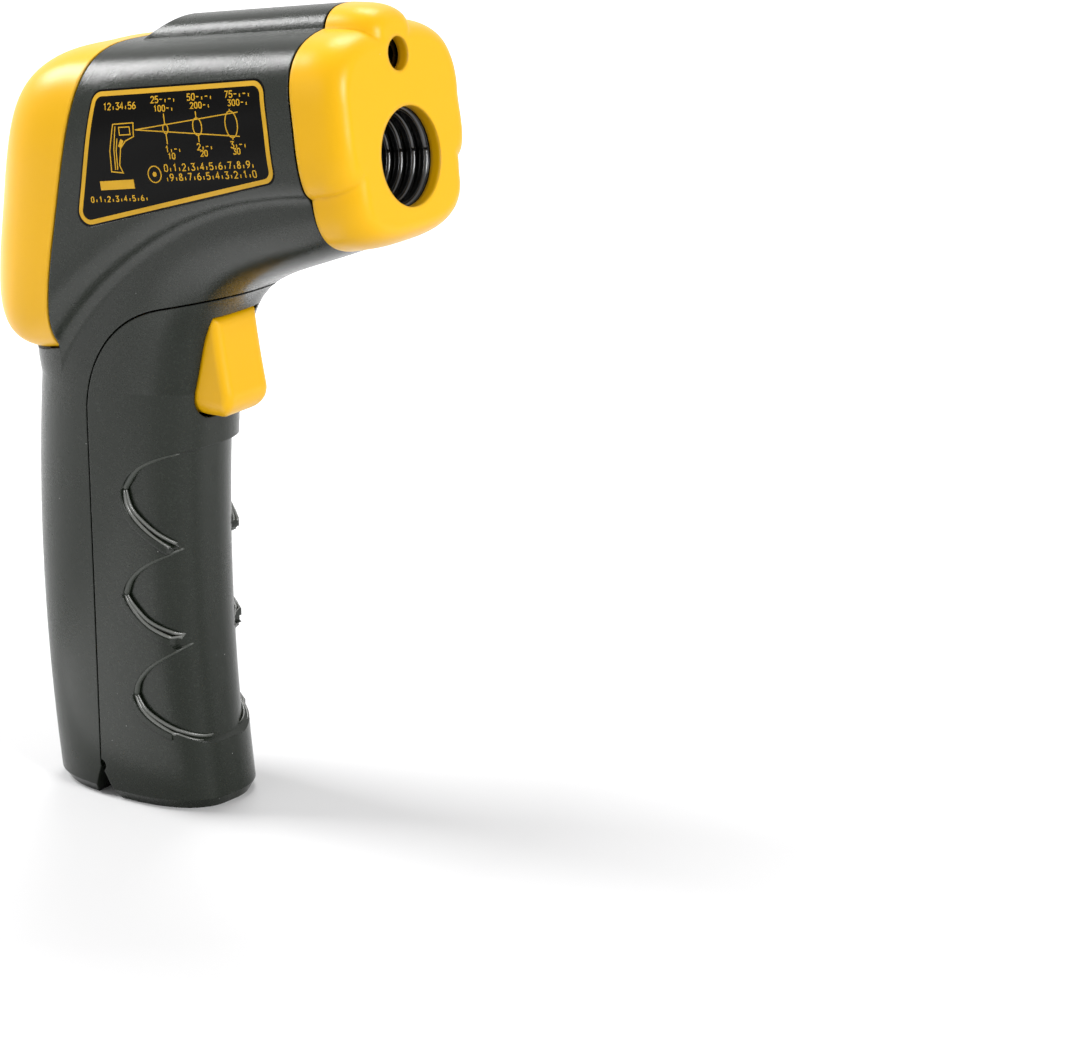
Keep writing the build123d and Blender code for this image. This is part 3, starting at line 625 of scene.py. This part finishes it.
# all in the label's own plane, millimetres: back from the nose, and up from the bore's axis
labelArt = {
    "corners": ((15.3, 17.6), (54.9, 17.2), (62.9, -8.1), (15.3, -0.9)), "inset": 0.72,
    "round": 2.0, "border": 0.85, "line": 0.2, "thin": 0.19,
    "apex": (45.4, 9.8), "ends": ((21.7, 12.0), (21.8, 7.7)), "tick": 2.75,
    "rings": ((38.4, 9.7, 0.58, 0.86), (31.1, 9.8, 1.0, 1.57), (23.4, 9.9, 1.36, 2.37)),
    # middle, height, pitch and figures of each row
    "rows": ((48.6, 14.2, 1.15, 0.98, "12|34|56"),
             (38.3, 15.0, 1.1, 1.0, "25-|-|"), (29.9, 15.1, 1.1, 1.0, "50-|-|"),
             (21.4, 15.2, 1.1, 1.0, "75-|-|"), (38.3, 13.4, 1.0, 0.95, "100-|"),
             (29.9, 13.6, 1.0, 0.95, "200-|"), (21.4, 13.7, 1.0, 0.95, "300-|"),
             (37.2, 6.0, 1.1, 0.95, "1|-|"), (29.9, 6.2, 1.1, 0.95, "2|-|"),
             (22.3, 6.3, 1.1, 0.95, "3|-|"),
             (37.8, 4.75, 1.0, 0.9, "10"), (30.3, 5.0, 1.0, 0.9, "20"),
             (22.9, 5.1, 1.0, 0.9, "30"),
             (29.6, 2.65, 1.2, 1.04, "0|1|2|3|4|5|6|7|8|9|"),
             (29.6, 0.9, 1.2, 1.04, "|9|8|7|6|5|4|3|2|1|0"),
             (51.4, -2.6, 0.95, 0.98, "0|1|2|3|4|5|6|")),
    "target": (42.3, 1.6, 1.5, 0.45), "ringSteps": 24, "targetSteps": 20,
    "block": ((55.4, -0.1), (47.4, 0.0)), "blockWidth": 1.65,
    "body": ((50.5, 11.0), (45.7, 11.1), (46.0, 8.6), (48.0, 7.9), (49.4, 6.6), (50.2, 3.5),
             (49.6, 2.1), (52.3, 2.4), (52.0, 6.2)),
    "window": ((49.2, 10.4), (46.7, 10.4), (46.7, 9.0), (49.2, 9.0)),
    "gripLines": (((50.0, 10.6), (51.0, 6.4), (51.3, 2.7)),
                  ((49.9, 8.4), (50.5, 6.2), (50.8, 2.7))),
    "pull": ((48.8, 8.1), (49.6, 6.8)), "pullWidth": 0.7,
}

# the barrel's side plane: its pitch, and where the bore's axis leaves the nose, as (x, z)
barrelFrame = {"pitch": 8.2, "bore": (63.7, 133.2)}


def onBarrel(s, t):
    # s back from the nose and t up from the bore's axis, in millimetres, to (x, z)
    pitch = math.radians(barrelFrame["pitch"])
    x, z = barrelFrame["bore"]
    return (x - s * math.cos(pitch) - t * math.sin(pitch),
            z - s * math.sin(pitch) + t * math.cos(pitch))


# rounded rings inside the lens tube, split along the middle as the tube is
tubeRings = {"count": 6, "first": 3.8, "pitch": 2.5, "radius": 9.0, "shrink": 0.42,
             "half": (1.02, 0.62), "steps": 56, "sides": 14, "gap": 0.09}


def ringHalf(number, way):
    look, points = tubeRings, []
    middle = look["first"] + number * look["pitch"]
    radius = look["radius"] - number * look["shrink"]
    deep, tall = look["half"]
    skip, steps = look["gap"] / radius, look["steps"]
    for k in range(steps + 1):
        turn = skip + (math.pi - 2 * skip) * k / steps
        for a in turns(look["sides"]):
            rho = radius + tall * math.sin(a)
            x, z = onBarrel(middle + deep * math.cos(a), way * rho * math.sin(turn))
            points.append(Vector((x, rho * math.cos(turn), z)) * mm)
    return points, tubeFaces(steps + 1, look["sides"])


for way, wayName in ((1, "upper"), (-1, "lower")):
    halves = [ringHalf(number, way) for number in range(tubeRings["count"])]
    addTubes(wayName + "_tube_rings", halves, "tube_black", "housing")
print("tube rings made")


def roundedOutline(corners, inset, radius, steps=7):
    # corners moved inwards, then rounded with the given steps in each
    pts = [Vector(c) for c in corners]
    count = len(pts)
    area = sum(pts[k - 1].x * pts[k].y - pts[k].x * pts[k - 1].y for k in range(count))
    lines = []
    for k in range(count):
        way = (pts[(k + 1) % count] - pts[k]).normalized()
        lines.append((pts[k] + Vector((-way.y, way.x)) * math.copysign(inset, area), way))
    moved = []
    for k in range(count):
        (p, d), (q, e) = lines[k - 1], lines[k]
        moved.append(p + d * ((q - p).x * e.y - (q - p).y * e.x) / (d.x * e.y - d.y * e.x))
    out = []
    for k in range(count):
        corner = moved[k]
        u, v = (moved[k - 1] - corner).normalized(), (moved[(k + 1) % count] - corner).normalized()
        half = math.acos(max(-1.0, min(1.0, u.dot(v)))) / 2
        centre = corner + (u + v).normalized() * radius / math.sin(half)
        start, end = (corner + w * radius / math.tan(half) - centre for w in (u, v))
        sweep = math.atan2(start.x * end.y - start.y * end.x, start.dot(end))
        for m in range(steps + 1):
            cosine, sine = math.cos(sweep * m / steps), math.sin(sweep * m / steps)
            out.append(centre + Vector((start.x * cosine - start.y * sine,
                                        start.x * sine + start.y * cosine)))
    return out


def rowStrokes(middle, height, pitch, text, width, reading):
    # reading is 1 where the reader's right is the first coordinate growing, else -1
    strokes = []
    for k, figure in enumerate(text):
        left = (k - (len(text) - 1) / 2) * pitch - figureWidth / 2 * height
        points = [(middle[0] + reading * (left + x * height), middle[1] + (y - 0.5) * height)
                  for x, y in figures[figure]]
        strokes.append((points, width, False))
    return strokes


def labelStrokes(reading):
    look = labelArt
    line, thin = look["line"], look["thin"]
    outline = roundedOutline(look["corners"], look["inset"], look["round"])
    strokes = [(outline, look["border"], True)]
    strokes += [([look["apex"], end], line, False) for end in look["ends"]]
    for s, t, wide, tall in look["rings"]:
        strokes.append((oval((s, t), wide, tall, look["ringSteps"]), line, True))
        strokes += [([(s, t + way * tall), (s, t + way * look["tick"])], line, False)
                    for way in (-1, 1)]
    for s, t, height, pitch, text in look["rows"]:
        strokes += rowStrokes((s, t), height, pitch, text, thin, reading)
    s, t, ring, dot = look["target"]
    for radius, width in ((ring, line), (dot / 2, dot)):
        strokes.append((oval((s, t), radius, radius, look["targetSteps"]), width, True))
    strokes += [(look["body"], line, True), (look["window"], thin, True),
                (look["pull"], look["pullWidth"], False),
                (look["block"], look["blockWidth"], False)]
    strokes += [(points, thin, False) for points in look["gripLines"]]
    return strokes


# millimetres out from the middle plane, clear of the body
clearOf = {"barrel": 60, "grip": 40}


def flankSpot(surface, outward, drawing):
    # puts a drawn point on a flank from outside it, where drawing turns the point into (x, z)
    def spot(point, lift):
        x, z = drawing(*point)
        start = Vector((x, outward * clearOf["barrel"], z)) * mm
        hit = surface.ray_cast(start, Vector((0, -outward, 0)))[0]
        return hit + Vector((0, outward * lift * mm, 0))
    return spot


for side, outward in (("right", -1), ("left", 1)):
    spot = flankSpot(surfaceOf("label_" + side), outward, onBarrel)
    inkOn(side + "_label_print", labelStrokes(outward), spot, prints["printYellow"], "housing")
print("label print made")

# "outside" and "inside" are how far from a rim its two lines on the door run, and a bead lies
# between them. "tip" is the share of its thickness at the start, "taper" the share of the rim
# over which it thickens, and "merge" the share by which twins have parted at the start
beadShape = {"step": 0.45, "tip": 0.3, "merge": 0.35}
# twin ridges down the lower rim of each finger groove, in a lighter grey that is a painted
# highlight, (x, z) from the rim's rear to its cusp
gripBeads = {
    "rims": (((5.3, 64.9), (6.2, 60.8), (9.7, 56.8), (13.6, 53.6)),
             ((4.4, 43.4), (5.6, 41.2), (8.8, 37.8), (14.2, 34.9)),
             ((5.7, 23.0), (7.6, 19.6), (12.2, 16.4), (17.4, 13.8))),
    "title": "_groove_bead_", "finish": "ridge_painted_highlight", "ways": (-1, 1), "apart": 0.26,
    "outside": 0.4, "inside": 0.8, "radius": 0.4, "sides": 10, "taper": 0.45,
}
# one soft roll along each upper rim, from its front end to its rear, in a lighter grey that is a
# painted light band over the rim's shade
gripRolls = {
    "rims": (((15.2, 72.2), (12.4, 71.5), (8.3, 69.2), (5.3, 64.9)),
             ((14.6, 52.9), (9.3, 50.1), (5.9, 46.9), (4.4, 43.4)),
             ((15.4, 33.6), (9.6, 29.7), (6.5, 26.0), (5.7, 23.0))),
    "title": "_groove_roll_", "finish": "roll_painted_sheen", "ways": (0,), "apart": 0.0,
    "outside": 0.5, "inside": 0.5, "radius": 0.62, "sides": 12, "taper": 0.85,
}
doorSurface = surfaceOf("battery_door")


def smoothPath(knots, step):
    # a line through the knots that keeps their curve
    pts = [Vector(p) for p in knots]
    pts = [2 * pts[0] - pts[1], *pts, 2 * pts[-1] - pts[-2]]
    out = []
    for a, b, c, d in zip(pts, pts[1:], pts[2:], pts[3:]):
        count = max(2, int((c - b).length / step))
        for k in range(count):
            u = k / count
            out.append(0.5 * (2 * b + (c - a) * u + (2 * a - 5 * b + 4 * c - d) * u * u
                              + (3 * b - a - 3 * c + d) * u ** 3))
    return out + [pts[-2]]


def onDoor(point, side):
    # the door's surface beside a point (x, z), or the nearest of it past the door's edge
    start = Vector((point.x, side * clearOf["grip"], point.y)) * mm
    hit = doorSurface.ray_cast(start, Vector((0, -side, 0)))[0]
    return hit or doorSurface.find_nearest(start)[0]


def beadTube(look, rim, way, side):
    # one bead along a rim of the door: way is -1 or 1 for a twin, and 0 for a single one
    path = smoothPath(rim, beadShape["step"])
    last, merge = len(path) - 1, beadShape["merge"]
    points = []
    for k, p in enumerate(path):
        run = (path[min(k + 1, last)] - path[max(k - 1, 0)]).normalized()
        inward = Vector((-run.y, run.x))
        outer = onDoor(p + inward * -look["outside"], side)
        inner = onDoor(p + inward * look["inside"], side)
        slope = (inner - outer).normalized()
        out = slope.cross(Vector((run.x, 0, run.y))).normalized()
        if out.y * side < 0:
            out = -out
        centre = outer.lerp(inner, 0.5 + way * look["apart"] * (merge + (1 - merge) * k / last))
        full = min(1.0, beadShape["tip"] + k / last / look["taper"])
        thick = look["radius"] * math.sin(math.pi / 2 * full) * mm
        points += [centre + (slope * math.cos(a) + out * math.sin(a)) * thick
                   for a in turns(look["sides"])]
    return points, tubeFaces(last + 1, look["sides"])


for side, sideName in ((-1, "right"), (1, "left")):
    for look in (gripBeads, gripRolls):
        for number, rim in enumerate(look["rims"], 1):
            tubes = [beadTube(look, rim, way, side) for way in look["ways"]]
            addTubes(sideName + look["title"] + str(number), tubes, look["finish"], "door")
print("groove beads made")

# the rear face: a point of it at the barrel's seam plane, its lean and its middle, millimetres
faceFrame = {"tilt": -7.8, "origin": (-21.32, 120.95), "middle": -4.37}
keyArt = {"row": -11.5, "pitch": 7.8, "depth": 0.5, "line": 0.5, "reach": 1.4, "foot": 0.6,
          "peak": 0.9, "lamp": 0.9, "steps": 20, "rays": 8, "ray": (1.5, 2.0), "rayLine": 0.7}
# "flat" and "upright" are the ends of the segments, as shares of a figure's width and height
digitArt = {"row": 4.6, "depth": 3.2, "height": 8.4, "wide": 4.4, "line": 0.9, "gap": 0.35,
            "lean": 0.1, "columns": (-7.6, -1.6, 4.4), "flat": (0.12, 0.88),
            "upright": (0.05, 0.45)}


def faceSpot(depth):
    # puts a drawn point on the rear face, the given depth below it
    tilt = math.radians(faceFrame["tilt"])
    inward = Vector((math.cos(tilt), 0, math.sin(tilt)))
    up = Vector((-inward.z, 0, inward.x))
    x, z = faceFrame["origin"]

    def spot(point, lift):
        across, above = point
        rise = up * (faceFrame["middle"] + above)
        return (Vector((x, -across, z)) + rise + inward * (depth - lift)) * mm
    return spot


def segmentStrokes():
    # the unlit seven-segment figures of the display
    look = digitArt
    wide, height, (low, high) = look["wide"], look["height"], look["upright"]
    trim = look["gap"] / height
    lines = [[(x, y) for x in look["flat"]] for y in (0.0, 0.5, 1.0)]
    lines += [[(x, y + low + trim), (x, y + high - trim)] for y in (0.0, 0.5) for x in (0.0, 1.0)]
    strokes = []
    for column in look["columns"]:
        for line in lines:
            points = [(column + x * wide + y * height * look["lean"], look["row"] + y * height)
                      for x, y in line]
            strokes.append((points, look["line"], False))
    return strokes


def keyStrokes(kind, column):
    # kind is 1 for an arrow up, -1 for an arrow down and 0 for a lamp
    look = keyArt
    row, reach, line = look["row"], look["reach"], look["line"]
    if kind:
        foot, peak = row - kind * look["foot"], row + kind * look["peak"]
        return [([(column - reach, foot), (column, peak), (column + reach, foot)], line, False)]
    ring = oval((column, row), look["lamp"], look["lamp"], look["steps"])
    rays = [([(column + r * math.cos(a), row + r * math.sin(a)) for r in look["ray"]],
             line * look["rayLine"], False) for a in turns(look["rays"])]
    return [(ring, line, True), *rays]


for k, (name, kind) in enumerate((("left_key", 1), ("middle_key", 0), ("right_key", -1))):
    strokes = keyStrokes(kind, (k - 1) * keyArt["pitch"])
    inkOn(name + "_symbol", strokes, faceSpot(keyArt["depth"]), prints["printWhite"], name)
inkOn("display_segments", segmentStrokes(), faceSpot(digitArt["depth"]), prints["segmentDark"],
      "housing")
print("face print made")

# a dark cross in each screw head, painted shade for its recess: the (x, z) of its middle, and a
# turn that grows by the screw
screwShadeCross = {"places": (onBarrel(36, -14.5), onBarrel(38, 17.0), (-16.4, 74.0), (-16.0, 8.0)),
              "reach": 1.35, "line": 0.55, "turn": 0.5}
screwSpot = flankSpot(surfaceOf("housing_screws"), 1, lambda x, z: (x, z))
for number, head in enumerate(screwShadeCross["places"], 1):
    arms, turn = [], screwShadeCross["turn"] * number
    for a in (turn, turn + math.pi / 2):
        reach = Vector((math.cos(a), math.sin(a))) * screwShadeCross["reach"]
        arms.append(([Vector(head) - reach, Vector(head) + reach], screwShadeCross["line"], False))
    inkOn("screw_shade_cross_" + str(number), arms, screwSpot, finishes["chip_black"], "housing")
print("screw crosses made")
